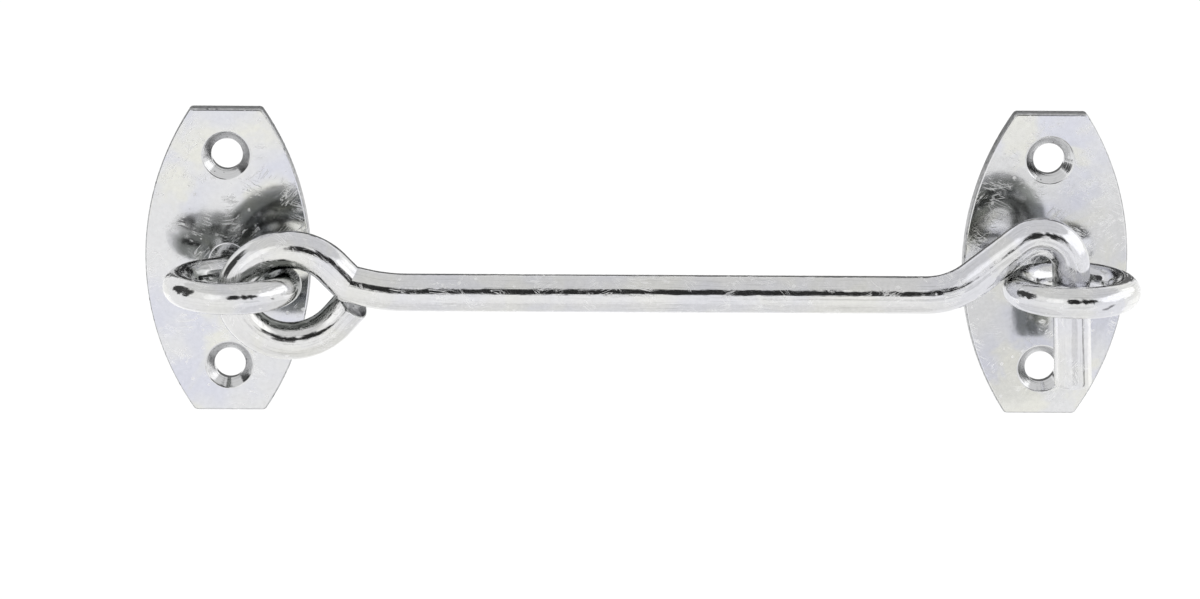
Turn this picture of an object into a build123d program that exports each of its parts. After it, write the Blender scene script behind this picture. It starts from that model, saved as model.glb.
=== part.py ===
from build123d import *
from math import atan2, cos, degrees, radians, sin, sqrt, tan
import os

# A cabin hook in millimetres: two stamped plates, each with a riveted wire eye, and a bent rod that is
# linked through the hinge eye and drops its nose into the keeper eye.
# The wall is the plane y = 0 and everything stands in front of it, towards -Y. +X runs from the hinge
# plate to the keeper plate, +Z is up, and the origin is the middle of the hinge plate's back.

# Plates
plate_spacing = 133.5
plate_height = 50.5
plate_width = 26.9
plate_end_width = 11.5
plate_thickness = 2.5
plate_corner_r = 0.8
plate_edge_r = 0.4

# Screw holes, one in from each end of a plate
screw_inset = 7.7
screw_hole_d = 5.1
screw_land = 1.15
countersink_angle = 90.0
countersink_edge_r = 0.4

# Wire eyes
eye_wire_d = 5.0
eye_inner_d = 12.0
eye_stem = 5.6
eye_offset = 1.9
eye_kink_inside_r = 0.5
eye_end_angle = 64.0
eye_end_edge_r = 0.3

# The foot of the eye's stem: a collar on the plate's front and a tenon riveted over in its back
collar_width = 0.7
collar_height = 0.5
collar_edge_r = 0.25
tenon_step = 0.5
tenon_clearance = 0.05
rivet_flare = 1.1
rivet_recess = 0.1

# The hook's rod, gooseneck and nose
rod_d = 6.0
rod_drop = 1.0
rest_gap = 0.3
riser_slope = 39.0
riser_bend_inside_r = 9.0
arch_inside_r = 2.0
nose_lean = 3.5
nose_drop = 15.9
nose_edge_r = 0.6

# The hook's rolled loop
hang_gap = 0.4
loop_shift = 0.6
loop_top_r = 9.3
loop_side_r = 6.6
loop_bottom_r = 9.8
loop_side_from = 140.0
loop_bottom_from = 217.0
loop_lay_angle = 11.5
loop_end_slope = 47.0
loop_end_drop = 1.0
loop_cut_angle = 24.0
loop_end_edge_r = 0.25

# The sharp kink where the loop meets the rod, which is folded down to near the rod's middle line
neck_slope = 46.0
kink_rise = 1.4
kink_crease_r = 0.3
ease_slope = 14.0
ease_straight = 2.0

# Places that follow from the sizes above
wire_r = eye_wire_d / 2
rod_r = rod_d / 2
ring_r = eye_inner_d / 2 + wire_r
eye_kink_r = wire_r + eye_kink_inside_r
kink_y = -plate_thickness - eye_stem
ring_y = kink_y - sqrt((ring_r + eye_kink_r) ** 2 - (eye_offset + eye_kink_r) ** 2)
link_x = eye_offset + ring_r
keeper_x = plate_spacing + eye_offset
rest_x = keeper_x - ring_r


def plate():
    """A stamped plate: straight ends, bowed sides, two countersunk holes and a hole for the eye's tenon."""
    top = plate_height / 2
    end = plate_end_width / 2
    side = plate_width / 2
    outline = [
        Line((-end, top), (end, top)),
        ThreePointArc((end, top), (side, 0), (end, -top)),
        Line((end, -top), (-end, -top)),
        ThreePointArc((-end, -top), (-side, 0), (-end, top)),
    ]
    body = extrude(Plane.XZ * make_face(outline), plate_thickness)
    body = fillet(body.edges().filter_by(Axis.Y), plate_corner_r)
    body = fillet(body.faces().sort_by(Axis.Y)[0].edges(), plate_edge_r)
    for z in (screw_inset - top, top - screw_inset):
        body -= Pos(0, 0, z) * screw_hole()
    rims = body.faces().sort_by(Axis.Y)[0].inner_wires()
    body = fillet([edge for rim in rims for edge in rim.edges()], countersink_edge_r)
    return body - tenon(tenon_clearance, 0)


def screw_hole():
    """A straight land at the back of the plate and a cone for the screw's head in front of it."""
    hole_r = screw_hole_d / 2
    rim_r = hole_r + (plate_thickness - screw_land) * tan(radians(countersink_angle / 2))
    return turned((0, 0), (hole_r, 0), (hole_r, screw_land), (rim_r, plate_thickness), (0, plate_thickness))


def tenon(clearance, recess):
    """The stem's end through the plate, flared where it is riveted over."""
    r = wire_r - tenon_step + clearance
    head = (r + rivet_flare - recess, recess)
    return turned((0, recess), head, (r, rivet_flare), (r, plate_thickness), (0, plate_thickness))


def collar():
    """The ring of metal upset round the stem, which seats on the plate's front."""
    r = wire_r + collar_width
    top = plate_thickness + collar_height
    ring = turned((0, plate_thickness), (r, plate_thickness), (r, top), (0, top))
    return fillet(ring.edges().sort_by(Axis.Y)[0], collar_edge_r)


def turned(*profile):
    """A turned solid about the line out of the wall, from points of (radius, distance from the wall)."""
    return Rot(90, 0, 0) * revolve(Plane.XZ * make_face(Polyline(*profile, close=True)), Axis.Z)


def bent(path, diameter):
    """Round stock bent along a path."""
    return sweep(Plane(path @ 0, z_dir=path % 0) * Circle(diameter / 2), path=path)


def wire_eye():
    """A stem out of the plate, a kink to one side, and a level ring cut off just short of the stem."""
    turn = degrees(atan2(kink_y - ring_y, eye_offset + eye_kink_r))
    path = Wire(
        [
            Line((0, -plate_thickness), (0, kink_y)),
            CenterArc((-eye_kink_r, kink_y), eye_kink_r, 0, -turn),
            CenterArc((eye_offset, ring_y), ring_r, 180 - turn, 180 + turn + eye_end_angle),
        ]
    )
    wire = bent(path, eye_wire_d)
    cut_end = wire.faces().sort_by_distance(path @ 1)[0]
    return fillet(cut_end.edges(), eye_end_edge_r) + collar() + tenon(0, rivet_recess)


def hook():
    """A bent rod: nose, arch, riser and shank, and the loop that is linked through the hinge eye."""
    front = Plane((0, ring_y, 0), x_dir=(1, 0, 0), z_dir=(0, -1, 0))
    # The riser lies on the keeper ring's near wire, and the nose hangs through the middle of the ring.
    riser = tan(radians(riser_slope))
    lean = tan(radians(nose_lean))
    riser_at_rest = (wire_r + rod_r + rest_gap) / cos(radians(riser_slope))
    arch_z = (riser_at_rest + riser * ring_r) / (1 + riser * lean)
    riser_foot = (rest_x - (riser_at_rest + rod_drop) / riser, -rod_drop)
    # The loop's top hangs over the hinge ring's wire, and its neck comes down to the kink.
    top_x = link_x + loop_shift
    top_z = wire_r + rod_r + hang_gap - loop_top_r
    neck = radians(neck_slope)
    neck_top = (top_x + loop_top_r * sin(neck), top_z + loop_top_r * cos(neck))
    kink_z = kink_rise - rod_drop
    kink_x = neck_top[0] + (neck_top[1] - kink_z) / tan(neck)
    ease = radians(ease_slope)
    fold = kink_crease_r * tan((neck - ease) / 2)
    ease_run = kink_rise / sin(ease) - fold - ease_straight
    ease_foot = (kink_x + kink_rise / tan(ease), -rod_drop)
    shank_end = (kink_x + fold * cos(ease), kink_z - fold * sin(ease))
    neck_start = (kink_x - fold * cos(neck), kink_z + fold * sin(neck))
    shank = FilletPolyline(
        (keeper_x + nose_drop * lean, -nose_drop),
        (keeper_x - arch_z * lean, arch_z),
        riser_foot,
        ease_foot,
        shank_end,
        radius=[rod_r + arch_inside_r, rod_r + riser_bend_inside_r, ease_run / tan(ease / 2)],
    )
    turn = radians(loop_side_from)
    side_x = top_x + (loop_top_r - loop_side_r) * cos(turn)
    side_z = top_z + (loop_top_r - loop_side_r) * sin(turn)
    top = CenterArc((top_x, top_z), loop_top_r, 90 - neck_slope, loop_side_from - 90 + neck_slope)
    side = CenterArc((side_x, side_z), loop_side_r, loop_side_from, 180 - loop_side_from)
    path = front * shank
    rod = bent(path, rod_d)
    tip = rod.faces().sort_by_distance(path @ 0)[0]
    rod = fillet(tip.edges(), nose_edge_r)
    rod += bent(Wire([front * edge for edge in (Line(neck_start, neck_top), top, side)]), rod_d)
    rod += kink_outside(path, ease, neck)
    return rod + loop_tail(side_x - loop_side_r, side_z, kink_z)


def kink_outside(path, ease, neck):
    """The stretched outside of the kink, turned about the foot of the crease that its inside folds into."""
    up = Vector(sin(ease), 0, cos(ease))
    crease = path @ 1 + up * kink_crease_r
    section = Plane(path @ 1, z_dir=path % 1) * Circle(rod_r)
    section = split(section, bisect_by=Plane(crease, z_dir=up), keep=Keep.BOTTOM)
    return revolve(section, Axis(crease, (0, 1, 0)), degrees(neck - ease))


def loop_tail(x, z, kink_z):
    """The loop's lower half, laid over towards the wall so that its end tucks in behind the neck."""
    lay = radians(loop_lay_angle)
    laid = Plane((x, ring_y, z), x_dir=(cos(lay), sin(lay), 0), z_dir=(sin(lay), -cos(lay), 0))
    turn = radians(loop_bottom_from)
    bottom_x = loop_side_r + (loop_side_r - loop_bottom_r) * cos(turn)
    bottom_z = (loop_side_r - loop_bottom_r) * sin(turn)
    side = CenterArc((loop_side_r, 0), loop_side_r, 180, loop_bottom_from - 180)
    bottom_turn = 270 + loop_end_slope - loop_bottom_from
    bottom = CenterArc((bottom_x, bottom_z), loop_bottom_r, loop_bottom_from, bottom_turn)
    heading = bottom % 1
    end_z = kink_z - rod_r - loop_end_drop - z
    end = bottom @ 1 + heading * ((end_z - (bottom @ 1).Y) / heading.Y)
    spare = end + heading * rod_r
    tail = bent(Wire([laid * edge for edge in (side, bottom, Line(bottom @ 1, spare))]), rod_d)
    # The end is sheared off at a slant, longest on the side towards the wall.
    slant = radians(loop_cut_angle)
    along = laid.x_dir * heading.X + laid.y_dir * heading.Y
    cut = Plane(laid.from_local_coords(end), z_dir=along * cos(slant) + laid.z_dir * sin(slant))
    tail = split(tail, bisect_by=cut, keep=Keep.BOTTOM)
    cut_end = tail.faces().sort_by_distance(cut.origin)[0]
    return fillet(cut_end.edges(), loop_end_edge_r)


hinge_plate = plate()
hinge_eye = wire_eye()
at_keeper = Pos(plate_spacing, 0, 0)
nodes = {
    "hinge_plate": hinge_plate,
    "hinge_eye": hinge_eye,
    "keeper_plate": at_keeper * hinge_plate,
    "keeper_eye": at_keeper * hinge_eye,
    "hook": hook(),
}
os.makedirs("parts", exist_ok=True)
for name, shape in nodes.items():
    export_step(shape, f"parts/{name}.step")
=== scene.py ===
from math import atan2, ceil, cos, pi, radians, sin, sqrt, tan

import bmesh
import bpy
from bpy.props import FloatProperty, FloatVectorProperty, PointerProperty
from bpy.types import Operator, Panel, PropertyGroup
from mathutils import Matrix, Vector, noise
from mathutils.bvhtree import BVHTree


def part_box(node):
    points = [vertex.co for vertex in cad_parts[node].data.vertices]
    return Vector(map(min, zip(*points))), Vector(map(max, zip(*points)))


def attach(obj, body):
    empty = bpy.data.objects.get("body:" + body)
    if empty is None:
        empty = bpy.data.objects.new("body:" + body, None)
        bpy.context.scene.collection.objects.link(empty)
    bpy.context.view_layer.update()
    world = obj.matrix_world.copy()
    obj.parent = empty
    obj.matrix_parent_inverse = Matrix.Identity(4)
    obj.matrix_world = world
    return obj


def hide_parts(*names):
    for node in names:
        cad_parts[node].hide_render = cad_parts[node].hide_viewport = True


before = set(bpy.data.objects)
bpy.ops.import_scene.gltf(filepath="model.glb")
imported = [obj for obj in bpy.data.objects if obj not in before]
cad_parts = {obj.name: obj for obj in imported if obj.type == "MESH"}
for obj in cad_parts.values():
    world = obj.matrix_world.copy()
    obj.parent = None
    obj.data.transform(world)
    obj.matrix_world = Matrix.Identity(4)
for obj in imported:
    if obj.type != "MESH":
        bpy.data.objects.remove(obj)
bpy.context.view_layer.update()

bl_info = {
    "name": "Cabin Hook",
    "version": (1, 0, 0),
    "blender": (4, 5, 0),
    "location": "View3D > Sidebar > Cabin Hook",
    "description": "A zinc-plated cabin hook with its two plates and wire eyes, on a studio stage",
    "category": "Add Mesh",
}

PLATE_LOW, PLATE_HIGH = (Vector(corner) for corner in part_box("hinge_plate"))
KEEPER_LOW = Vector(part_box("keeper_plate")[0])
X, Y, Z = Vector((1, 0, 0)), Vector((0, 1, 0)), Vector((0, 0, 1))

# How finely round stock and holes are divided, and the paths that stock is bent along
AROUND = 72
STRAIGHT_STEP = 0.0005
BEND_STEP = radians(2.5)
# Steps round a plate's corners, sides, edge and countersinks, rings on a cut face as shares of its radius, and
# turns round its rounded edge
CORNER_STEPS, SIDE_STEPS, EDGE_STEPS, RIM_STEPS = 8, 48, 6, 5
CUT_RINGS = (0.2, 0.4, 0.55, 0.7, 0.82, 0.93)
EDGE_TURNS = [pi / 2 * k / RIM_STEPS for k in range(RIM_STEPS + 1)]
# How deep the face of an end is torn, where it was sheared at a slant and where it was cut straight
SHEARED_TEAR = 0.0008
CUT_TEAR = 0.00016
# Points closer than this are one, and edges that turn by more than this are sharp
MERGE = 2e-6
SHARP = radians(20)
# Gap round the eye's tenon in its plate
TENON_GAP = 0.00005
# Rays that measure how sheltered each point of a piece is, for the painted shade in its recesses: their number,
# the turn between them, where they start over the point, their reach, and how fast their share falls off as the
# point turns to the front
SHELTER_RAYS = 24
SHELTER_TURN = 2.39996
SHELTER_START = 3e-5
SHELTER_REACH = 0.022
SHELTER_FACING = 1.2
# Half the floor's width
FLOOR_HALF = 8
# The middle of the reflection cards, their rows of faces, the depth of the low ones and the waves of a torn edge
CARD_MIDDLE = Vector((0.067, -0.018, 0))
CARD_ROWS = 8
CARD_DEPTH = 0.070
CARD_WAVES = ((0.12, 1.8), (0.45, 1.1), (1.7, 0.7), (5.0, 0.5))


def length(name, default, description):
    return FloatProperty(name=name, description=description, default=default, unit="LENGTH", precision=5)


def angle(name, default, description):
    return FloatProperty(name=name, description=description, default=radians(default), subtype="ANGLE")


def share(name, default, description):
    return FloatProperty(name=name, description=description, default=default, min=0.0, max=1.0, subtype="FACTOR")


def colour(name, default, description):
    return FloatVectorProperty(
        name=name, description=description, default=default, size=3, min=0.0, max=1.0, subtype="COLOR"
    )


class CabinHookPlateSizes(PropertyGroup):
    """Sizes of the two stamped plates."""

    spacing: length("Spacing", KEEPER_LOW.x - PLATE_LOW.x, "From the hinge plate's middle to the keeper plate's")
    height: length("Height", PLATE_HIGH.z - PLATE_LOW.z, "A plate's height")
    width: length("Width", PLATE_HIGH.x - PLATE_LOW.x, "A plate's width across its bowed sides")
    thickness: length("Thickness", PLATE_HIGH.y - PLATE_LOW.y, "The sheet's thickness")
    end_width: length("End width", 0.0115, "Width of a plate's straight ends before the corners are rounded")
    corner: length("Corner radius", 0.0008, "Rounding of the four corners")
    edge: length("Edge radius", 0.0004, "Rounding of the front edge")
    hole_inset: length("Hole inset", 0.0077, "From an end of the plate to the middle of its screw hole")
    hole: length("Hole diameter", 0.0051, "Diameter of a screw hole at the back")
    hole_land: length("Hole land", 0.00115, "Straight length of a screw hole behind its countersink")
    hole_edge: length("Countersink edge", 0.0004, "Rounding of the countersink's rim")


class CabinHookEyeSizes(PropertyGroup):
    """Sizes of the two wire eyes."""

    wire: length("Wire", 0.005, "Diameter of the wire")
    inner: length("Inner diameter", 0.012, "Opening of the ring")
    stem: length("Stem", 0.0056, "Straight length of the stem in front of the plate")
    offset: length("Offset", 0.0019, "How far the ring's middle stands beside the stem")
    bend: length("Inside bend", 0.0005, "Inside radius of the bend between stem and ring")
    end: angle("End", 64, "Where the wire's cut end lies round the ring")
    cut_edge: length("Cut edge", 0.0003, "Rounding of the cut end")
    collar_width: length("Collar width", 0.0007, "How far the collar stands out round the stem")
    collar_height: length("Collar height", 0.0005, "Height of the collar on the plate")
    tenon_step: length("Tenon step", 0.0005, "How much thinner the tenon is than the wire, on each side")
    rivet_flare: length("Rivet flare", 0.0011, "Depth and width of the riveted end's flare")
    rivet_recess: length("Rivet recess", 0.0001, "How far the riveted end lies under the plate's back")


class CabinHookRodSizes(PropertyGroup):
    """Sizes of the bent hook."""

    rod: length("Rod", 0.006, "Diameter of the rod")
    drop: length("Rod drop", 0.001, "How far the shank lies under the middle of the rings")
    rest_gap: length("Rest gap", 0.0003, "Gap between the riser and the keeper's wire")
    riser_slope: angle("Riser slope", 39, "Slope of the riser")
    riser_bend: length("Riser bend", 0.009, "Inside radius of the bend from shank to riser")
    arch_bend: length("Arch bend", 0.002, "Inside radius of the arch over the nose")
    nose_lean: angle("Nose lean", 3.5, "Lean of the nose")
    nose_drop: length("Nose drop", 0.0159, "How far the nose hangs under the middle of the rings")
    nose_edge: length("Nose edge", 0.0006, "Rounding of the nose's tip")
    hang_gap: length("Hang gap", 0.0004, "Gap between the loop's top and the hinge wire")
    loop_shift: length("Loop shift", 0.0006, "How far the loop's top stands beside the hinge wire")
    loop_top: length("Loop top", 0.0093, "Radius of the loop's top at the middle of the rod")
    loop_side: length("Loop side", 0.0066, "Radius of the loop's outer side at the middle of the rod")
    loop_bottom: length("Loop bottom", 0.0098, "Radius of the loop's bottom at the middle of the rod")
    side_from: angle("Side from", 140, "Where the loop's side begins")
    bottom_from: angle("Bottom from", 217, "Where the loop's bottom begins")
    lay: angle("Lay", 11.5, "How far the loop's lower half is laid over towards the wall")
    end_slope: angle("End slope", 47, "Slope of the loop's end")
    end_drop: length("End drop", 0.001, "Gap in height between the loop's end and the kink's underside")
    cut_slant: angle("Cut slant", 24, "Slant of the loop's sheared end")
    cut_edge: length("Cut edge", 0.00025, "Rounding of the loop's sheared end")
    neck_slope: angle("Neck slope", 46, "Slope of the neck between loop and kink")
    kink_rise: length("Kink rise", 0.0014, "Height of the kink over the shank")
    kink_crease: length("Kink crease", 0.0003, "From the middle of the rod up to the foot of the kink's crease")
    ease_slope: angle("Ease slope", 14, "Slope of the rod next to the kink")
    ease_straight: length("Ease straight", 0.002, "Straight length next to the kink")


class CabinHookFinish(PropertyGroup):
    """Colours and wear of the plating, and the colours of the painted shade in its recesses."""

    plate_zinc: colour("Plate zinc", (0.735, 0.737, 0.745), "Bright plating on the plates")
    wire_zinc: colour("Wire zinc", (0.735, 0.735, 0.74), "Bright plating on the eyes")
    rod_zinc: colour("Rod zinc", (0.76, 0.757, 0.755), "Bright plating on the hook")
    blue_bloom: colour("Blue bloom", (0.665, 0.675, 0.755), "Blue tinge of the passivated zinc")
    straw_bloom: colour("Straw bloom", (0.79, 0.785, 0.70), "Straw tinge of the passivated zinc")
    sheared: colour("Sheared edge", (0.36, 0.365, 0.37), "Plating over sheared and broken edges")
    # Specks and Dull zinc are also the colours of the painted shade laid on sheltered cut faces and sheltered bent
    # stock.
    soot_and_shade: colour("Specks", (0.10, 0.10, 0.11), "Pits and specks of dirt")
    dull_and_shade: colour("Dull zinc", (0.19, 0.20, 0.19), "Thin dull plating in recesses and draw lines")
    scratched: colour("Scratches", (0.93, 0.93, 0.93), "Bright metal in the fine scratches")
    sheet_lean: share("Sheet lean", 0.075, "Slope by which the pressed sheet's faces lean to the right")
    scratches: share("Scratch strength", 0.7, "How strongly the fine scratches show")


class CabinHookStudio(PropertyGroup):
    """The camera, floor and light."""

    camera: FloatVectorProperty(
        name="Camera", description="Place of the camera", default=(0.0466, -0.5815, 0.1450), size=3, unit="LENGTH"
    )
    turn: angle("Turn", -1.39, "Turn of the camera to the left")
    tilt: angle("Tilt", 14.63, "Tilt of the camera down")
    roll: angle("Roll", 0.64, "Roll of the camera")
    lens: FloatProperty(name="Lens", description="Focal length on a 36 mm wide picture, in mm", default=109.76)
    floor: colour("Floor", (0.92, 0.92, 0.92), "Colour of the floor")
    floor_gap: length("Floor gap", 0.050, "How far the floor lies under the plates")
    sun: FloatProperty(name="Sun", description="Strength of the soft overhead light", default=1.75)
    sky: share("Sky", 0.62, "Strength of the white surroundings as light")
    scrim: share("Scrim", 0.77, "Brightness of the overhead scrim in reflections")
    dark_cards: share("Dark cards", 0.03, "Brightness of the dark cards in reflections")
    underlay: share("Underlay", 0.90, "Brightness of the grey sheet under the hook in reflections")
    strip: share("Strip", 0.35, "Brightness of the narrow grey strip in reflections")
    bright_card: FloatProperty(name="Bright card", description="Brightness of the bright cards", default=1.4)


def feed(tree, socket, value):
    """Links another socket into an input, or sets the input to a plain value."""
    if isinstance(value, bpy.types.NodeSocket):
        tree.links.new(value, socket)
    else:
        socket.default_value = value


def new_node(tree, kind, **values):
    """A node with its settings and the values of its inputs, which are given by name."""
    node = tree.nodes.new(kind)
    for key, value in values.items():
        name = key.replace("_", " ").title()
        if name in node.inputs:
            feed(tree, node.inputs[name], value)
        else:
            setattr(node, key, value)
    return node


def sum_up(tree, operation, first, second, clamp=False):
    """The result of a Math node on two sockets or numbers."""
    node = new_node(tree, "ShaderNodeMath", operation=operation, use_clamp=clamp)
    for socket, value in zip(node.inputs, (first, second)):
        feed(tree, socket, value)
    return node.outputs[0]


def times(tree, first, second):
    return sum_up(tree, "MULTIPLY", first, second)


def plus(tree, first, second):
    return sum_up(tree, "ADD", first, second)


def blend_colours(tree, factor, first, second):
    """The result of a colour Mix node."""
    node = new_node(tree, "ShaderNodeMix", data_type="RGBA")
    for socket, value in zip((node.inputs[0], node.inputs[6], node.inputs[7]), (factor, first, second)):
        feed(tree, socket, value)
    return node.outputs[2]


def mottle(tree, vector, scale, detail, **more):
    """The value of a Noise texture."""
    return new_node(tree, "ShaderNodeTexNoise", vector=vector, scale=scale, detail=detail, **more).outputs[0]


def steps(tree, value, low, high):
    """A value taken from 0 at low to 1 at high."""
    node = new_node(tree, "ShaderNodeMapRange", interpolation_type="SMOOTHSTEP", value=value)
    node.inputs["From Min"].default_value = low
    node.inputs["From Max"].default_value = high
    return node.outputs[0]


def stretched(tree, vector, scale, turn=0.0):
    """Coordinates turned about the line out of the wall and then scaled along each axis."""
    turned = new_node(tree, "ShaderNodeMapping", vector=vector, rotation=(0, turn, 0))
    return new_node(tree, "ShaderNodeMapping", vector=turned.outputs[0], scale=scale).outputs[0]


def effect(name, inputs, outputs):
    """A new shader node group, or None if it is there already, with its input and output nodes."""
    if name in bpy.data.node_groups:
        return None, None, None
    group = bpy.data.node_groups.new(name, "ShaderNodeTree")
    for socket, kind, default in inputs:
        made = group.interface.new_socket(socket, in_out="INPUT", socket_type="NodeSocket" + kind)
        if default is not None:
            made.default_value = default
    for socket, kind in outputs:
        group.interface.new_socket(socket, in_out="OUTPUT", socket_type="NodeSocket" + kind)
    return group, group.nodes.new("NodeGroupInput").outputs, group.nodes.new("NodeGroupOutput").inputs


def zinc_bloom():
    """Clouds of blue and straw that passivation leaves on bright zinc."""
    inputs = (
        ("Vector", "Vector", None),
        ("Zinc", "Color", (0.7, 0.7, 0.7, 1)),
        ("Blue", "Color", (0.6, 0.6, 0.8, 1)),
        ("Straw", "Color", (0.8, 0.8, 0.6, 1)),
        ("Blue Share", "Float", 0.5),
        ("Straw Share", "Float", 0.5),
    )
    tree, given, put = effect("Zinc bloom", inputs, (("Color", "Color"),))
    if tree:
        clouds = mottle(tree, given["Vector"], 75, 3)
        veils = mottle(tree, given["Vector"], 110, 4, distortion=0.6)
        grain = mottle(tree, given["Vector"], 1500, 4, roughness=0.65)
        blue = times(tree, steps(tree, clouds, 0.42, 0.62), given["Blue Share"])
        straw = times(tree, steps(tree, veils, 0.47, 0.62), given["Straw Share"])
        tinged = blend_colours(tree, blue, given["Zinc"], given["Blue"])
        tinged = blend_colours(tree, straw, tinged, given["Straw"])
        level = plus(tree, times(tree, grain, 0.24), 0.88)
        level = new_node(tree, "ShaderNodeCombineXYZ", x=level, y=level, z=level).outputs[0]
        graded = new_node(tree, "ShaderNodeVectorMath", operation="MULTIPLY")
        tree.links.new(tinged, graded.inputs[0])
        tree.links.new(level, graded.inputs[1])
        tree.links.new(graded.outputs[0], put["Color"])
    return bpy.data.node_groups["Zinc bloom"]


def fine_scratches():
    """Short thin scratches from handling, at several slants to the first axis."""
    inputs = (("Vector", "Vector", None), ("Fineness", "Float", 1.0))
    tree, given, put = effect("Fine scratches", inputs, (("Mask", "Float"),))
    if tree:
        mask = 0.0
        # Each slant's turn, fineness along and across its scratches, size of their patches and rarity
        slants = ((0.12, 190, 1700, 170, 0.56), (-0.4, 260, 2100, 230, 0.56), (0.85, 300, 1900, 260, 0.54))
        for turn, long, thin, patch, rarity in slants:
            place = stretched(tree, given["Vector"], (long, long, thin), turn)
            lines = mottle(tree, place, given["Fineness"], 2, distortion=0.4)
            off = sum_up(tree, "ABSOLUTE", sum_up(tree, "SUBTRACT", lines, 0.5), 0.0)
            line = sum_up(tree, "SUBTRACT", 1.0, steps(tree, off, 0.010, 0.040))
            shifted = new_node(tree, "ShaderNodeMapping", vector=given["Vector"], location=(turn, turn, turn))
            where = mottle(tree, shifted.outputs[0], patch, 3)
            line = times(tree, line, steps(tree, where, rarity, rarity + 0.1))
            mask = line if mask == 0.0 else sum_up(tree, "MAXIMUM", mask, line)
        tree.links.new(mask, put["Mask"])
    return bpy.data.node_groups["Fine scratches"]


def plating_specks():
    """Small pits and dark specks, each of its own size."""
    inputs = (
        ("Vector", "Vector", None),
        ("Per Metre", "Float", 450.0),
        ("Size", "Float", 0.16),
        ("Share", "Float", 0.25),
    )
    tree, given, put = effect("Plating specks", inputs, (("Mask", "Float"),))
    if tree:
        cells = new_node(tree, "ShaderNodeTexVoronoi", vector=given["Vector"], scale=given["Per Metre"])
        parts = new_node(tree, "ShaderNodeSeparateColor", color=cells.outputs["Color"])
        ragged = mottle(tree, given["Vector"], 5200, 2)
        reach = times(tree, parts.outputs["Green"], given["Size"])
        reach = times(tree, reach, plus(tree, ragged, 0.5))
        inside = sum_up(tree, "DIVIDE", cells.outputs["Distance"], plus(tree, reach, 0.001))
        dot = sum_up(tree, "SUBTRACT", 1.0, steps(tree, inside, 0.7, 1.1))
        chosen = sum_up(tree, "LESS_THAN", parts.outputs["Red"], given["Share"])
        tree.links.new(times(tree, dot, chosen), put["Mask"])
    return bpy.data.node_groups["Plating specks"]


def draw_lines():
    """Lines along bent stock, from the die that it was drawn through, with the slow waves of bending."""
    inputs = (("Along", "Vector", None), ("Place", "Vector", None))
    outputs = (("Lines", "Float"), ("Waves", "Float"))
    tree, given, put = effect("Draw lines", inputs, outputs)
    if tree:
        fine = new_node(tree, "ShaderNodeMapping", vector=given["Along"], scale=(140, 4200, 1))
        lines = mottle(tree, fine.outputs[0], 1, 3)
        waves = mottle(tree, given["Place"], 230, 2)
        tree.links.new(lines, put["Lines"])
        tree.links.new(waves, put["Waves"])
    return bpy.data.node_groups["Draw lines"]


def place_effect(tree, group, **values):
    """The outputs of an effect's group in a material, with its inputs given by name."""
    return new_node(tree, "ShaderNodeGroup", node_tree=group, **values).outputs


def bump(tree, height, depth, below=None):
    """The normal of a Bump node of that depth in metres, on top of another one's normal."""
    node = new_node(tree, "ShaderNodeBump", distance=depth, height=height)
    if below:
        tree.links.new(below, node.inputs["Normal"])
    return node.outputs[0]


def solid(rgb):
    return (*rgb, 1.0)


def new_material(name):
    """A material with its Principled shader, as bare metal."""
    material = bpy.data.materials.new(name)
    material.use_nodes = True
    shader = material.node_tree.nodes["Principled BSDF"]
    shader.inputs["Metallic"].default_value = 1.0
    return material, material.node_tree, shader


def dress(tree, shader, tint, rough, normal):
    """Links a material's colour, roughness and normal into its shader."""
    for name, value in (("Base Color", tint), ("Roughness", rough), ("Normal", normal)):
        tree.links.new(value, shader.inputs[name])


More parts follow.
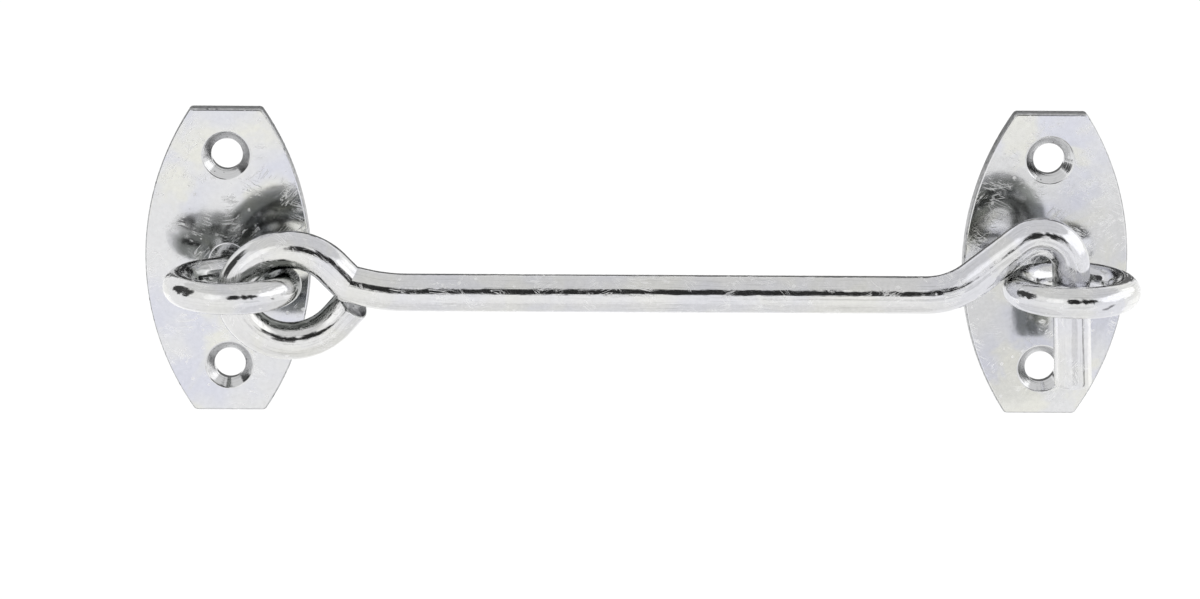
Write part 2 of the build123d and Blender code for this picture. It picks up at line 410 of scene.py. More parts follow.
def bright_zinc(name, zinc, finish, stock):
    """Bright zinc plate. Bent stock has draw lines and painted shade in its recesses, and sheet is faintly wavy
    and leans.
    """
    if name in bpy.data.materials:
        return bpy.data.materials[name]
    material, tree, shader = new_material(name)
    coordinates = tree.nodes.new("ShaderNodeTexCoord").outputs
    place = coordinates["Object"]
    bloom = place_effect(
        tree, zinc_bloom(), vector=place, zinc=solid(zinc), blue=solid(finish.blue_bloom),
        straw=solid(finish.straw_bloom), blue_share=0.45 if stock else 0.9, straw_share=0.3 if stock else 0.65,
    )["Color"]
    surface = place
    if stock:
        surface = new_node(tree, "ShaderNodeMapping", vector=coordinates["UV"], rotation=(pi / 2, 0, 0)).outputs[0]
        drawn = place_effect(tree, draw_lines(), along=coordinates["UV"], place=place)
        # Painted shade: bent stock is darkened towards the Dull zinc colour where it is sheltered by itself, the
        # other pieces and the plates, most on the sides that face the wall.
        painted_recess_shade = new_node(tree, "ShaderNodeAttribute", attribute_name="painted_recess_shade").outputs["Fac"]
        dull_and_shade = times(tree, steps(tree, painted_recess_shade, 0.03, 0.26), 0.95)
        bloom = blend_colours(tree, dull_and_shade, bloom, solid(finish.dull_and_shade))
        streak = times(tree, steps(tree, drawn["Lines"], 0.52, 0.78), 0.28)
        bloom = blend_colours(tree, streak, bloom, solid(finish.dull_and_shade))
    scratches = place_effect(tree, fine_scratches(), vector=surface, fineness=1.0)["Mask"]
    flecks = place_effect(
        tree, plating_specks(), vector=surface, per_metre=1150.0, size=0.42, share=0.10 if stock else 0.13
    )["Mask"]
    worn = times(tree, sum_up(tree, "MAXIMUM", scratches, flecks), finish.scratches)
    specks = place_effect(
        tree, plating_specks(), vector=place, per_metre=520.0 if stock else 380.0, size=0.11, share=0.09
    )["Mask"]
    tinged = blend_colours(tree, worn, bloom, solid(finish.scratched))
    tinged = blend_colours(tree, times(tree, specks, 0.75), tinged, solid(finish.soot_and_shade))
    smear = mottle(tree, place, 120, 4)
    rough = times(tree, smear, 0.08 if stock else 0.10)
    rough = plus(tree, rough, 0.05 if stock else 0.055)
    rough = plus(tree, rough, times(tree, worn, 0.55))
    rough = plus(tree, rough, times(tree, specks, 0.35))
    if stock:
        normal = bump(tree, drawn["Waves"], 0.00012)
        normal = bump(tree, drawn["Lines"], 0.000012, normal)
    else:
        waves = mottle(tree, place, 140, 2)
        across = new_node(tree, "ShaderNodeSeparateXYZ", vector=place).outputs["X"]
        normal = bump(tree, waves, 0.00005, bump(tree, across, -finish.sheet_lean))
    normal = bump(tree, plus(tree, worn, specks), -0.000005, normal)
    dress(tree, shader, tinged, rough, normal)
    return material


def sheared_zinc(finish):
    """Zinc over a sheared edge: matt, dark and torn into fine ridges, with painted shade where it is sheltered."""
    name = "Sheared zinc"
    if name in bpy.data.materials:
        return bpy.data.materials[name]
    material, tree, shader = new_material(name)
    place = tree.nodes.new("ShaderNodeTexCoord").outputs["Object"]
    ridges = stretched(tree, place, (3200, 700, 3200))
    torn = mottle(tree, ridges, 1, 4)
    blotch = mottle(tree, place, 1600, 4)
    specks = place_effect(tree, plating_specks(), vector=place, per_metre=1300.0, size=0.35, share=0.5)["Mask"]
    dull_and_shade = blend_colours(tree, steps(tree, blotch, 0.30, 0.95), solid(finish.sheared), solid(finish.plate_zinc))
    # Painted shade: sheltered cut faces are darkened towards the Specks colour, together with the real specks.
    painted_recess_shade = new_node(tree, "ShaderNodeAttribute", attribute_name="painted_recess_shade").outputs["Fac"]
    dark = sum_up(tree, "MAXIMUM", specks, steps(tree, painted_recess_shade, 0.10, 0.40))
    dull_and_shade = blend_colours(tree, times(tree, dark, 0.8), dull_and_shade, solid(finish.soot_and_shade))
    dress(tree, shader, dull_and_shade, plus(tree, times(tree, torn, 0.30), 0.22), bump(tree, torn, 0.00006))
    return material


def drilled_zinc(finish):
    """Zinc in a countersink: thin and greyer, over the rings that the drill left."""
    name = "Drilled zinc"
    if name in bpy.data.materials:
        return bpy.data.materials[name]
    material, tree, shader = new_material(name)
    coordinates = tree.nodes.new("ShaderNodeTexCoord").outputs
    around = new_node(tree, "ShaderNodeMapping", vector=coordinates["UV"], scale=(9000, 120, 1)).outputs[0]
    rings = mottle(tree, around, 1, 3)
    blotch = mottle(tree, coordinates["Object"], 700, 3)
    specks = place_effect(
        tree, plating_specks(), vector=coordinates["Object"], per_metre=1500.0, size=0.3, share=0.3
    )["Mask"]
    grey = blend_colours(tree, steps(tree, blotch, 0.05, 0.42), solid(finish.sheared), solid(finish.plate_zinc))
    grooves = times(tree, steps(tree, rings, 0.5, 0.75), 0.3)
    grey = blend_colours(tree, grooves, grey, solid(finish.dull_and_shade))
    grey = blend_colours(tree, times(tree, specks, 0.5), grey, solid(finish.soot_and_shade))
    dress(tree, shader, grey, plus(tree, times(tree, blotch, 0.10), 0.05), bump(tree, rings, 0.000010))
    return material


def add_stop(path, point, heading):
    """Adds a point and its heading to a path, unless the path is there already."""
    if not path or (path[-1][0] - point).length > 1e-6:
        path.append((point, heading))


def go_straight(path, start, end):
    """Adds a straight run to a path of points and headings."""
    heading = (end - start).normalized()
    count = max(1, ceil((end - start).length / STRAIGHT_STEP))
    for i in range(count + 1):
        add_stop(path, start.lerp(end, i / count), heading)


def go_round(path, centre, right, up, radius, start, turn):
    """Adds an arc, in the plane of two axes."""
    count = max(2, ceil(abs(turn) / BEND_STEP))
    for i in range(count + 1):
        at = start + turn * i / count
        out = right * cos(at) + up * sin(at)
        heading = (up * cos(at) - right * sin(at)) * (1 if turn > 0 else -1)
        add_stop(path, centre + out * radius, heading)


def go_by(path, corners, radii):
    """Adds straight runs between corners, with a bend of its own radius at each corner."""
    start = corners[0]
    for before, corner, after, radius in zip(corners, corners[1:], corners[2:], radii):
        into, out = (corner - before).normalized(), (after - corner).normalized()
        turn = into.angle(out)
        reach = radius * tan(turn / 2)
        inward = (out - into * into.dot(out)).normalized()
        bend = corner - into * reach
        go_straight(path, start, bend)
        go_round(path, bend + inward * radius, -inward, into, radius, 0, turn)
        start = corner + out * reach
    go_straight(path, start, corners[-1])


def skin(bm, uv, first, second, travel, around, cut):
    """Faces between two rings of points."""
    count = len(first)
    for i in range(count):
        j = (i + 1) % count
        face = bm.faces.new((first[i], first[j], second[j], second[i]))
        face.smooth = True
        face.material_index = cut
        corners = ((travel[0], i), (travel[0], i + 1), (travel[1], i + 1), (travel[1], i))
        for loop, (u, v) in zip(face.loops, corners):
            loop[uv].uv = (u, v / count * around)


def stock_sections(path, radius, edges):
    """Rings along a path, as (middle, heading, radius, distance along, 1 on a cut face), and the path's length."""
    travelled = [0.0]
    for (before, _), (after, _) in zip(path, path[1:]):
        travelled.append(travelled[-1] + (after - before).length)
    total = travelled[-1]
    sections = []
    if edges[0]:
        point, heading = path[0]
        edge = edges[0]
        sections += [(point, heading, part * (radius - edge), 0.0, 1) for part in CUT_RINGS]
        for turn in EDGE_TURNS:
            run = edge - edge * cos(turn)
            sections.append((point + heading * run, heading, radius - edge * (1 - sin(turn)), run, 0))
    for (point, heading), at in zip(path, travelled):
        if edges[0] * 1.05 < at < total - edges[1] * 1.05 or (at == 0 and not edges[0]):
            sections.append((point, heading, radius, at, 0))
    if edges[1]:
        point, heading = path[-1]
        edge = edges[1]
        for turn in EDGE_TURNS:
            run = edge * (1 - sin(turn))
            sections.append((point - heading * run, heading, radius - edge * (1 - cos(turn)), total - run, 0))
        sections += [(point, heading, part * (radius - edge), total, 1) for part in reversed(CUT_RINGS)]
    return sections, total


def bent_stock(bm, uv, path, radius, seam, edges, fold=None, slant=None):
    """Skins round stock along a path. An end with an edge radius is closed by a sheared face.

    The fold is a kink's middle, the heading through it, half its turn and the height of its crease's foot.
    The slant is a direction and a slope: the far end is cut back by that slope towards the direction.
    """
    sections, total = stock_sections(path, radius, edges)
    made = []
    across, last = seam, None
    for point, heading, size, at, cut in sections:
        if last is not None and (last - heading).length > 1e-9:
            across = last.rotation_difference(heading) @ across
        across = (across - heading * across.dot(heading)).normalized()
        last = heading
        side = heading.cross(across)
        slanted = slant is not None and at > 0
        tear = (heading.cross(slant[0]) + slant[0]) / sqrt(2) if slanted else side
        deep = SHEARED_TEAR if slanted else CUT_TEAR
        # The slant sets in over the last three radii of the stock.
        weight = min(1.0, max(0.0, (at - total + 3 * radius) / (2.6 * radius)))
        ring = []
        for i in range(AROUND):
            turn = 2 * pi * i / AROUND
            arm = (across * cos(turn) + side * sin(turn)) * size
            shift = -slant[1] * arm.dot(slant[0]) * weight if slanted else 0.0
            if cut:
                shift += shear_marks(arm, tear, size, radius, deep) * (1 if at > 0 else -1)
            place = point + arm + heading * shift
            if fold and (point - fold[0]).length < radius:
                place = folded(place, arm, point, heading, fold)
            ring.append(bm.verts.new(place))
        made.append((ring, at, cut))
    for (first, at, cut), (second, after, cut_after) in zip(made, made[1:]):
        skin(bm, uv, first, second, (at, after), 2 * pi * radius, max(cut, cut_after))
    for ring, at, closed in ((made[0][0][::-1], 0.0, edges[0]), (made[-1][0], total, edges[1])):
        if closed:
            close_end(bm, uv, ring, at)


def close_end(bm, uv, ring, at):
    """Fills the last ring of a cut face, at a distance along the stock."""
    middle = bm.verts.new(sum((v.co for v in ring), Vector()) / AROUND)
    for first, second in zip(ring, ring[1:] + ring[:1]):
        face = bm.faces.new((first, second, middle))
        face.smooth = True
        face.material_index = 1
        for loop in face.loops:
            loop[uv].uv = (at, 0.0)


def folded(place, arm, point, heading, fold):
    """A point of the rod by a kink, brought back to the crease where it would pass into the other limb."""
    middle, through, half, foot = fold
    rise = arm.dot(Y.cross(heading))
    passed = (place - middle).dot(through) * (1 if (point - middle).dot(through) < 0 else -1)
    if passed > 0 or (rise > foot and heading.angle(through) < half - 1e-4):
        return middle + Y.cross(through) * (rise / cos(half)) + Y * arm.y
    return place


def shear_marks(arm, tear, size, radius, deep):
    """How far the broken face of an end stands back: a smooth lip, and a torn zone on the side of the tear."""
    along = arm.dot(tear) / radius
    torn = 0.5 + 0.5 * noise.noise(arm * 1400)
    zone = min(1.0, max(0.0, (along + 0.05) / 0.25))
    inner = min(1.0, (1.0 - size / radius) / 0.15)
    return -deep * inner * zone * (0.6 + 0.4 * torn) - 0.00004 * inner * torn


def turned(bm, uv, x, z, profile, cut=0):
    """Skins a turned form about a line out of the wall, from points of (radius, distance from the wall)."""
    made = []
    for r, d in profile:
        turns = [2 * pi * i / AROUND for i in range(AROUND)]
        made.append([bm.verts.new((x + r * cos(t), -d, z + r * sin(t))) for t in turns])
    for k, (first, second) in enumerate(zip(made, made[1:])):
        skin(bm, uv, first, second, (profile[k][1], profile[k + 1][1]), 2 * pi * profile[k][0], cut)
    return made


def add_object(name, data):
    """A new object in the scene."""
    made = bpy.data.objects.new(name, data)
    bpy.context.scene.collection.objects.link(made)
    return made


def on_crease(vertex, fold):
    """Whether a point lies on the crease of a folded kink."""
    middle, through, _, foot = fold
    away = vertex.co - middle
    return abs(away.dot(through)) < 3e-6 and 0.9 * foot < away.dot(Y.cross(through)) < 0.004


def finish_piece(name, bm, materials, body, node, fold=None):
    """Makes the piece's object in the node's place, riding on its body."""
    bmesh.ops.remove_doubles(bm, verts=bm.verts, dist=MERGE)
    bmesh.ops.recalc_face_normals(bm, faces=bm.faces)
    for edge in bm.edges:
        creased = fold and all(on_crease(vertex, fold) for vertex in edge.verts)
        edge.smooth = not creased and edge.calc_face_angle(0.0) < SHARP
    mesh = bpy.data.meshes.new(name)
    bm.to_mesh(mesh)
    bm.free()
    for material in materials:
        mesh.materials.append(material)
    piece = add_object(name, mesh)
    weighted = piece.modifiers.new("Flat faces", "WEIGHTED_NORMAL")
    weighted.keep_sharp = True
    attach(piece, body)
    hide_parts(node)
    return piece


def measure_painted_shade(name, *others):
    """Stores how sheltered each point of a piece is by itself and by others, which sets the painted shade on its
    plating.

    Points count in full where they face the wall and not at all where they face the front, so the painted shade is
    darkest on the sides that face the wall.
    """
    corners, faces = [], []
    for mesh in (bpy.data.objects[other].data for other in (name, *others) if other in bpy.data.objects):
        first = len(corners)
        corners += [vertex.co.copy() for vertex in mesh.vertices]
        faces += [[first + i for i in polygon.vertices] for polygon in mesh.polygons]
    nearby = BVHTree.FromPolygons(corners, faces)
    dome = []
    for i in range(SHELTER_RAYS):
        out, turn = sqrt((i + 0.5) / SHELTER_RAYS), SHELTER_TURN * i
        dome.append((out * cos(turn), out * sin(turn), sqrt(1 - out * out)))
    mesh = bpy.data.objects[name].data
    painted_recess_shade = []
    for vertex in mesh.vertices:
        up = vertex.normal
        right = up.cross(Z if abs(up.z) < 0.8 else X).normalized()
        ahead = up.cross(right)
        start = vertex.co + up * SHELTER_START
        rays = (right * a + ahead * b + up * c for a, b, c in dome)
        met = sum(nearby.ray_cast(start, ray, SHELTER_REACH)[0] is not None for ray in rays)
        painted_recess_shade.append(met / SHELTER_RAYS * min(1.0, max(0.0, 1.0 + SHELTER_FACING * up.y)))
    mesh.attributes.new("painted_recess_shade", "FLOAT", "POINT").data.foreach_set("value", painted_recess_shade)


def new_mesh():
    """An empty mesh with its map along the stock and around it."""
    bm = bmesh.new()
    return bm, bm.loops.layers.uv.new("Stock")


def plate_outline(s):
    """Points round a plate with their outward directions: straight ends, bowed sides, rounded corners."""
    top, end, side, corner = s.height / 2, s.end_width / 2, s.width / 2, s.corner
    bow = ((side - end) ** 2 + top ** 2) / (2 * (side - end))
    middle = side - bow
    turn_x = middle + sqrt((bow - corner) ** 2 - (top - corner) ** 2)
    meet = atan2(top - corner, turn_x - middle)
    right = []
    for i in range(CORNER_STEPS + 1):
        at = pi / 2 + (meet - pi / 2) * i / CORNER_STEPS
        right.append((turn_x + corner * cos(at), top - corner + corner * sin(at), cos(at), sin(at)))
    for i in range(1, SIDE_STEPS):
        at = meet - 2 * meet * i / SIDE_STEPS
        right.append((middle + bow * cos(at), bow * sin(at), cos(at), sin(at)))
    for i in range(CORNER_STEPS + 1):
        at = -meet + (meet - pi / 2) * i / CORNER_STEPS
        right.append((turn_x + corner * cos(at), corner - top + corner * sin(at), cos(at), sin(at)))
    return right + [(-x, z, -out_x, out_z) for x, z, out_x, out_z in reversed(right)]


def countersunk(s):
    """A screw hole's profile from the plate's back to its front."""
    hole, thick, edge = s.hole / 2, s.thickness, s.hole_edge
    rim = hole + thick - s.hole_land
    profile = [(hole, 0.0), (hole, s.hole_land)]
    for i in range(RIM_STEPS + 1):
        at = pi / 4 * (1 - i / RIM_STEPS)
        profile.append((rim + edge * tan(pi / 8) - edge * sin(at), thick - edge + edge * cos(at)))
    return profile


def build_plate(name, x, s, eye, materials, node):
    """A stamped plate: sheared sides, a rounded front edge, two countersunk holes and the hole for the eye."""
    bm, uv = new_mesh()
    outline = plate_outline(s)
    levels = [(0.0, 0.0), (0.0, s.thickness - s.edge)]
    for i in range(1, EDGE_STEPS + 1):
        at = pi / 2 * i / EDGE_STEPS
        levels.append((s.edge * (1 - cos(at)), s.thickness - s.edge + s.edge * sin(at)))
    sides = []
    for inset, d in levels:
        sides.append([bm.verts.new((x + px - ox * inset, -d, pz - oz * inset)) for px, pz, ox, oz in outline])
    for k, (first, second) in enumerate(zip(sides, sides[1:])):
        skin(bm, uv, first, second, (levels[k][1], levels[k + 1][1]), s.height, 1 if k < 5 else 0)
    screw_z = s.height / 2 - s.hole_inset
    stem = eye.wire / 2 - eye.tenon_step + TENON_GAP
    stem_hole = [(stem + eye.rivet_flare, 0.0), (stem, eye.rivet_flare), (stem, s.thickness)]
    holes = [turned(bm, uv, x, z, countersunk(s), 2) for z in (screw_z, -screw_z)]
    holes.append(turned(bm, uv, x, 0.0, stem_hole))
    for which, out in ((0, Y), (-1, -Y)):
        edges = []
        for loop in (sides[which], *(hole[which] for hole in holes)):
            edges += [bm.edges.get((loop[i - 1], loop[i])) for i in range(len(loop))]
        filled = bmesh.ops.triangle_fill(bm, use_beauty=True, edges=edges, normal=out)
        for face in (item for item in filled["geom"] if isinstance(item, bmesh.types.BMFace)):
            face.smooth = True
    return finish_piece(name, bm, materials, "plates", node)


def eye_bends(plate, eye):
    """The middle radii of an eye's ring and its bend, where the bend begins and where the ring's middle lies."""
    ring = eye.inner / 2 + eye.wire / 2
    bend = eye.wire / 2 + eye.bend
    bend_y = -plate.thickness - eye.stem
    return ring, bend, bend_y, bend_y - sqrt((ring + bend) ** 2 - (eye.offset + bend) ** 2)


def build_eye(name, x, plate, s, materials, node):
    """One closed skin: the riveted end, the tenon, the collar on the plate, and the wire out of it."""
    bm, uv = new_mesh()
    wire = s.wire / 2
    top, out, edge = plate.thickness + s.collar_height, wire + s.collar_width, s.collar_height / 2
    tenon = wire - s.tenon_step
    head = tenon + s.rivet_flare - s.rivet_recess
    foot = [(head * part, s.rivet_recess * (0.4 + 0.6 * part)) for part in (0.15, 0.4, 0.7, 0.93, 1.0)]
    foot += [(tenon, s.rivet_flare), (tenon, plate.thickness), (out, plate.thickness)]
    for i in range(EDGE_STEPS + 1):
        at = pi / 2 * i / EDGE_STEPS
        foot.append((out - edge + edge * cos(at), top - edge + edge * sin(at)))
    middle = turned(bm, uv, x, 0.0, foot + [(wire, top)])[0]
    bm.faces.new(middle).smooth = True
    ring, bend, bend_y, ring_y = eye_bends(plate, s)
    turn = atan2(bend_y - ring_y, s.offset + bend)
    path = []
    go_straight(path, Vector((x, -top, 0)), Vector((x, bend_y, 0)))
    go_round(path, Vector((x - bend, bend_y, 0)), X, Y, bend, 0, -turn)
    go_round(path, Vector((x + s.offset, ring_y, 0)), X, Y, ring, pi - turn, pi + turn + s.end)
    bent_stock(bm, uv, path, wire, -Z, (0.0, s.cut_edge))
    return finish_piece(name, bm, materials, "plates", node)


def hook_path(plate, eye, s):
    """The middle of the rod, from the nose to the loop's end, with its folded kink and the slant of that end."""
    wire, rod = eye.wire / 2, s.rod / 2
    ring, _, _, ring_y = eye_bends(plate, eye)
    keeper_x = plate.spacing + eye.offset
    riser, lean = tan(s.riser_slope), tan(s.nose_lean)
    at_rest = (wire + rod + s.rest_gap) / cos(s.riser_slope)
    arch_z = (at_rest + riser * ring) / (1 + riser * lean)
    top_x, top_z = eye.offset + ring + s.loop_shift, wire + rod + s.hang_gap - s.loop_top
    neck_top = (top_x + s.loop_top * sin(s.neck_slope), top_z + s.loop_top * cos(s.neck_slope))
    kink_z = s.kink_rise - s.drop
    kink_x = neck_top[0] + (neck_top[1] - kink_z) / tan(s.neck_slope)
    half = (s.neck_slope - s.ease_slope) / 2
    ease_run = s.kink_rise / sin(s.ease_slope) - s.kink_crease * tan(half) - s.ease_straight
    corners = (
        (keeper_x + s.nose_drop * lean, -s.nose_drop),
        (keeper_x - arch_z * lean, arch_z),
        (keeper_x - ring - (at_rest + s.drop) / riser, -s.drop),
        (kink_x + s.kink_rise / tan(s.ease_slope), -s.drop),
        (kink_x, kink_z),
        neck_top,
    )
    radii = (rod + s.arch_bend, rod + s.riser_bend, ease_run / tan(s.ease_slope / 2), s.kink_crease)
    path = []
    go_by(path, [Vector((x, ring_y, z)) for x, z in corners], radii)
    top = Vector((top_x, ring_y, top_z))
    go_round(path, top, X, Z, s.loop_top, pi / 2 - s.neck_slope, s.side_from - pi / 2 + s.neck_slope)
    side = top + (X * cos(s.side_from) + Z * sin(s.side_from)) * (s.loop_top - s.loop_side)
    go_round(path, side, X, Z, s.loop_side, s.side_from, pi - s.side_from)
    laid = X * cos(s.lay) + Y * sin(s.lay)
    start = side - X * s.loop_side
    go_round(path, start + laid * s.loop_side, laid, Z, s.loop_side, pi, s.bottom_from - pi)
    gain = s.loop_side - s.loop_bottom
    bottom = start + laid * (s.loop_side + gain * cos(s.bottom_from)) + Z * gain * sin(s.bottom_from)
    go_round(path, bottom, laid, Z, s.loop_bottom, s.bottom_from, 3 * pi / 2 + s.end_slope - s.bottom_from)
    point, heading = path[-1]
    go_straight(path, point, point + heading * ((kink_z - rod - s.end_drop - point.z) / heading.z))
    slope = s.ease_slope + half
    fold = (Vector((kink_x, ring_y, kink_z)), Z * sin(slope) - X * cos(slope), half, s.kink_crease)
    return path, fold, (X * sin(s.lay) - Y * cos(s.lay), tan(s.cut_slant))


class CABINHOOK_OT_plates(Operator):
    """Add the two stamped plates"""

    bl_idname = "cabin_hook.plates"
    bl_label = "Add Plates"

    def execute(self, context):
        scene = context.scene
        sizes, finish = scene.cabin_hook_plates, scene.cabin_hook_finish
        zinc = bright_zinc("Bright zinc sheet", finish.plate_zinc, finish, stock=False)
        materials = (zinc, sheared_zinc(finish), drilled_zinc(finish))
        build_plate("plate_at_hinge", 0.0, sizes, scene.cabin_hook_eyes, materials, "hinge_plate")
        build_plate("plate_at_keeper", sizes.spacing, sizes, scene.cabin_hook_eyes, materials, "keeper_plate")
        return {"FINISHED"}


class CABINHOOK_OT_eyes(Operator):
    """Add the two wire eyes, riveted into their plates"""

    bl_idname = "cabin_hook.eyes"
    bl_label = "Add Eyes"

    def execute(self, context):
        scene = context.scene
        plate, finish = scene.cabin_hook_plates, scene.cabin_hook_finish
        zinc = bright_zinc("Bright zinc wire", finish.wire_zinc, finish, stock=True)
        materials = (zinc, sheared_zinc(finish))
        build_eye("eye_at_hinge", 0.0, plate, scene.cabin_hook_eyes, materials, "hinge_eye")
        build_eye("eye_at_keeper", plate.spacing, plate, scene.cabin_hook_eyes, materials, "keeper_eye")
        return {"FINISHED"}


class CABINHOOK_OT_hook(Operator):
    """Add the bent hook, linked through the hinge eye"""

    bl_idname = "cabin_hook.hook"
    bl_label = "Add Hook"

    def execute(self, context):
        scene = context.scene
        sizes, finish = scene.cabin_hook_rod, scene.cabin_hook_finish
        zinc = bright_zinc("Bright zinc rod", finish.rod_zinc, finish, stock=True)
        bm, uv = new_mesh()
        path, fold, slant = hook_path(scene.cabin_hook_plates, scene.cabin_hook_eyes, sizes)
        bent_stock(bm, uv, path, sizes.rod / 2, Y, (sizes.nose_edge, sizes.cut_edge), fold, slant)
        materials = (zinc, sheared_zinc(finish))
        finish_piece("bent_hook", bm, materials, "hook", "hook", fold)
        # Painted shade in the recesses of the hook and the hinge eye.
        measure_painted_shade("bent_hook", "eye_at_hinge", "plate_at_hinge", "plate_at_keeper")
        if "eye_at_hinge" in bpy.data.objects:
            measure_painted_shade("eye_at_hinge", "bent_hook", "plate_at_hinge")
        return {"FINISHED"}


def card(name, around, height, strength, ragged=0.0, deepest=1.0):
    """A card that only reflections see, bent round the hook at a distance of 1 m or laid at a depth under it.

    It spans degrees around from the front towards the right, and degrees of height over the hook. A ragged card
    has rounded ends and a torn outline, by so many degrees.
    """
    bm = bmesh.new()
    span, middle, half = around[1] - around[0], (height[0] + height[1]) / 2, (height[1] - height[0]) / 2
    count = ceil(span / (0.2 if ragged else 10))
    columns = []
    for i in range(count + 1):
        turn = around[0] + span * i / count
        ends = 1 - abs(2 * i / count - 1) ** 6 if ragged else 1.0
        edges = []
        for side in (-1, 1):
            torn = sum(noise.noise(Vector((turn * wave, side, wave))) * depth for wave, depth in CARD_WAVES)
            edges.append(middle + max(0.0, half * ends + ragged * torn * ends) * side)
        column = []
        for k in range(CARD_ROWS + 1):
            up = radians(edges[0] + (edges[1] - edges[0]) * k / CARD_ROWS)
            far = min(1.0, deepest / max(-sin(up), 1e-6))
            out = Vector((sin(radians(turn)), -cos(radians(turn)), 0)) * cos(up) + Z * sin(up)
            column.append(bm.verts.new(CARD_MIDDLE + out * far))
        columns.append(column)
    for left, right in zip(columns, columns[1:]):
        for k in range(CARD_ROWS):
            bm.faces.new((left[k], right[k], right[k + 1], left[k + 1]))
    mesh = bpy.data.meshes.new(name)
    bm.to_mesh(mesh)
    bm.free()
    material = bpy.data.materials.new(name)
    material.use_nodes = True
    tree = material.node_tree
    tree.nodes.remove(tree.nodes["Principled BSDF"])
    glow = new_node(tree, "ShaderNodeEmission", color=(1, 1, 1, 1), strength=strength)
    tree.links.new(glow.outputs[0], tree.nodes["Material Output"].inputs["Surface"])
    mesh.materials.append(material)
    board = add_object(name, mesh)
    board.visible_camera = board.visible_diffuse = board.visible_shadow = board.visible_transmission = False


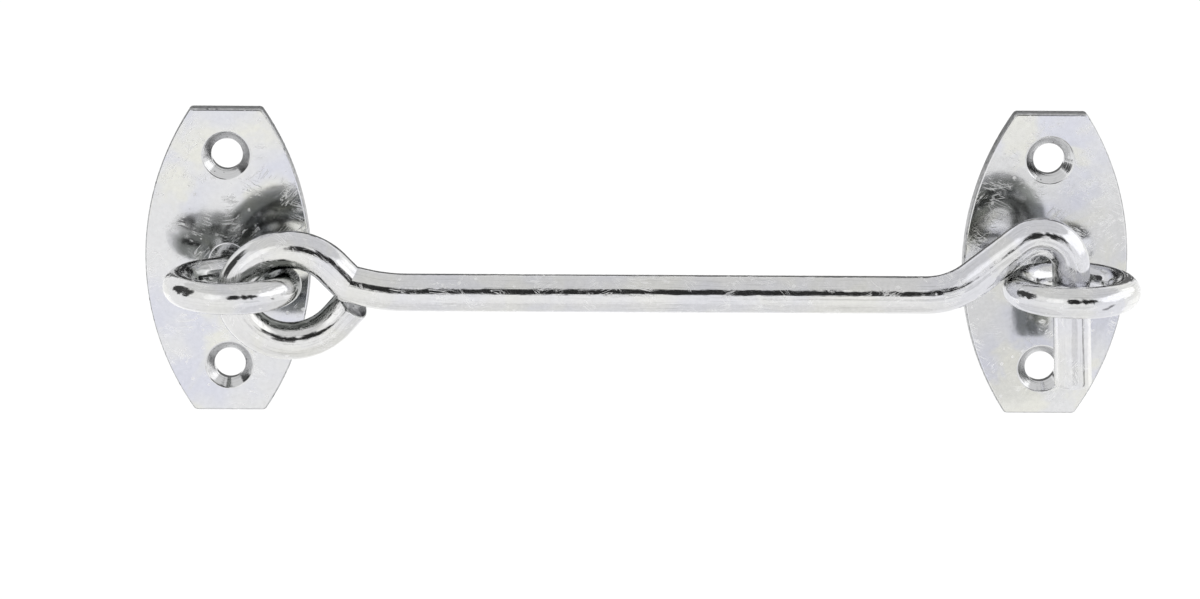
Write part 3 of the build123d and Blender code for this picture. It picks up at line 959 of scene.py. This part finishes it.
class CABINHOOK_OT_stage(Operator):
    """Add the floor, the light and the camera"""

    bl_idname = "cabin_hook.stage"
    bl_label = "Add Stage"

    def execute(self, context):
        scene = context.scene
        studio = scene.cabin_hook_studio
        self.add_floor(scene, studio)
        self.add_light(scene, studio)
        self.add_camera(scene, studio)
        scene.view_settings.view_transform = "Standard"
        return {"FINISHED"}

    def add_floor(self, scene, studio):
        low = -scene.cabin_hook_plates.height / 2 - studio.floor_gap
        mesh = bpy.data.meshes.new("floor")
        corners = [(x * FLOOR_HALF, y * FLOOR_HALF, low) for x, y in ((-1, -1), (1, -1), (1, 1), (-1, 1))]
        mesh.from_pydata(corners, [], [(0, 1, 2, 3)])
        material = bpy.data.materials.new("Pale floor")
        material.use_nodes = True
        shader = material.node_tree.nodes["Principled BSDF"]
        shader.inputs["Base Color"].default_value = solid(studio.floor)
        shader.inputs["Roughness"].default_value = 1.0
        shader.inputs["Specular IOR Level"].default_value = 0.0
        mesh.materials.append(material)
        add_object("floor", mesh)

    def add_light(self, scene, studio):
        lamp = bpy.data.lights.new("soft_sun", "SUN")
        lamp.energy = studio.sun
        lamp.angle = radians(75)
        sun = add_object("soft_sun", lamp)
        sun.rotation_euler = (radians(-22), radians(10), 0)
        sun.visible_glossy = False
        self.add_cards(studio)
        self.add_surroundings(scene, studio)

    def add_cards(self, studio):
        dark, bright, low = studio.dark_cards, studio.bright_card, CARD_DEPTH
        cards = (
            ("overhead_scrim", (-180, 180), (40, 90), studio.scrim),
            ("dark_front", (-9, 13), (4, 38), dark, 4.0),
            ("dark_front_right", (12, 43), (6, 37), dark, 10.0),
            ("dark_left", (-116, -70), (4, 39), dark + 0.03, 4.0),
            ("dark_back", (150, 210), (-7, 31), dark + 0.12, 5.0),
            ("bright_front_left", (-48, -17), (5, 34), bright - 0.2, 4.0),
            ("bright_right", (44, 132), (7, 39), bright, 4.0),
            ("grey_underlay", (-180, 180), (-90, -50), studio.underlay, 0.0, low),
            ("grey_front_right", (8, 38), (-22, -10), studio.underlay - 0.04, 0.0, low),
            ("grey_strip", (65, 72), (-24, -9), studio.strip, 0.0, low),
            ("bright_strip_right", (98, 130), (-26, -8), bright - 0.2, 0.0, low),
            ("bright_strip_left", (-146, -114), (-34, -14), bright - 0.2, 0.0, low),
        )
        for row in cards:
            card(*row)

    def add_surroundings(self, scene, studio):
        world = bpy.data.worlds.new("White studio")
        world.use_nodes = True
        tree = world.node_tree
        rays = tree.nodes.new("ShaderNodeLightPath").outputs
        seen = plus(tree, rays["Is Camera Ray"], rays["Is Glossy Ray"])
        seen = sum_up(tree, "ADD", seen, rays["Is Transmission Ray"], clamp=True)
        strength = plus(tree, times(tree, seen, 1.0 - studio.sky), studio.sky)
        background = tree.nodes["Background"]
        background.inputs["Color"].default_value = (1, 1, 1, 1)
        tree.links.new(strength, background.inputs["Strength"])
        scene.world = world

    def add_camera(self, scene, studio):
        across = X * cos(studio.turn) + Y * sin(studio.turn)
        ahead = Y * cos(studio.turn) - X * sin(studio.turn)
        forward = ahead * cos(studio.tilt) - Z * sin(studio.tilt)
        up = ahead * sin(studio.tilt) + Z * cos(studio.tilt)
        right = across * cos(studio.roll) + up * sin(studio.roll)
        up = up * cos(studio.roll) - across * sin(studio.roll)
        lens = bpy.data.cameras.new("camera")
        lens.lens = studio.lens
        lens.sensor_width = 36
        lens.sensor_fit = "HORIZONTAL"
        lens.clip_start = 0.01
        camera = add_object("camera", lens)
        place = Matrix((right, up, -forward)).transposed().to_4x4()
        place.translation = Vector(studio.camera)
        camera.matrix_world = place
        scene.camera = camera


class CABINHOOK_PT_panel(Panel):
    """The hook's pieces and their sizes"""

    bl_idname = "CABINHOOK_PT_panel"
    bl_label = "Cabin Hook"
    bl_space_type = "VIEW_3D"
    bl_region_type = "UI"
    bl_category = "Cabin Hook"

    def draw(self, context):
        parts = (
            ("cabin_hook.plates", "cabin_hook_plates"),
            ("cabin_hook.eyes", "cabin_hook_eyes"),
            ("cabin_hook.hook", "cabin_hook_rod"),
            ("cabin_hook.stage", "cabin_hook_studio"),
            (None, "cabin_hook_finish"),
        )
        for operator, group in parts:
            box = self.layout.box()
            if operator:
                box.operator(operator)
            values = getattr(context.scene, group)
            for name in type(values).__annotations__:
                box.prop(values, name)


GROUPS = {
    "cabin_hook_plates": CabinHookPlateSizes,
    "cabin_hook_eyes": CabinHookEyeSizes,
    "cabin_hook_rod": CabinHookRodSizes,
    "cabin_hook_finish": CabinHookFinish,
    "cabin_hook_studio": CabinHookStudio,
}
CLASSES = (
    *GROUPS.values(), CABINHOOK_OT_plates, CABINHOOK_OT_eyes, CABINHOOK_OT_hook, CABINHOOK_OT_stage,
    CABINHOOK_PT_panel,
)


def register():
    for cls in CLASSES:
        bpy.utils.register_class(cls)
    for name, group in GROUPS.items():
        setattr(bpy.types.Scene, name, PointerProperty(type=group))


def unregister():
    for name in GROUPS:
        delattr(bpy.types.Scene, name)
    for cls in reversed(CLASSES):
        bpy.utils.unregister_class(cls)


def main():
    register()
    bpy.ops.cabin_hook.plates()
    bpy.ops.cabin_hook.eyes()
    bpy.ops.cabin_hook.hook()
    bpy.ops.cabin_hook.stage()


if __name__ == "__main__":
    main()
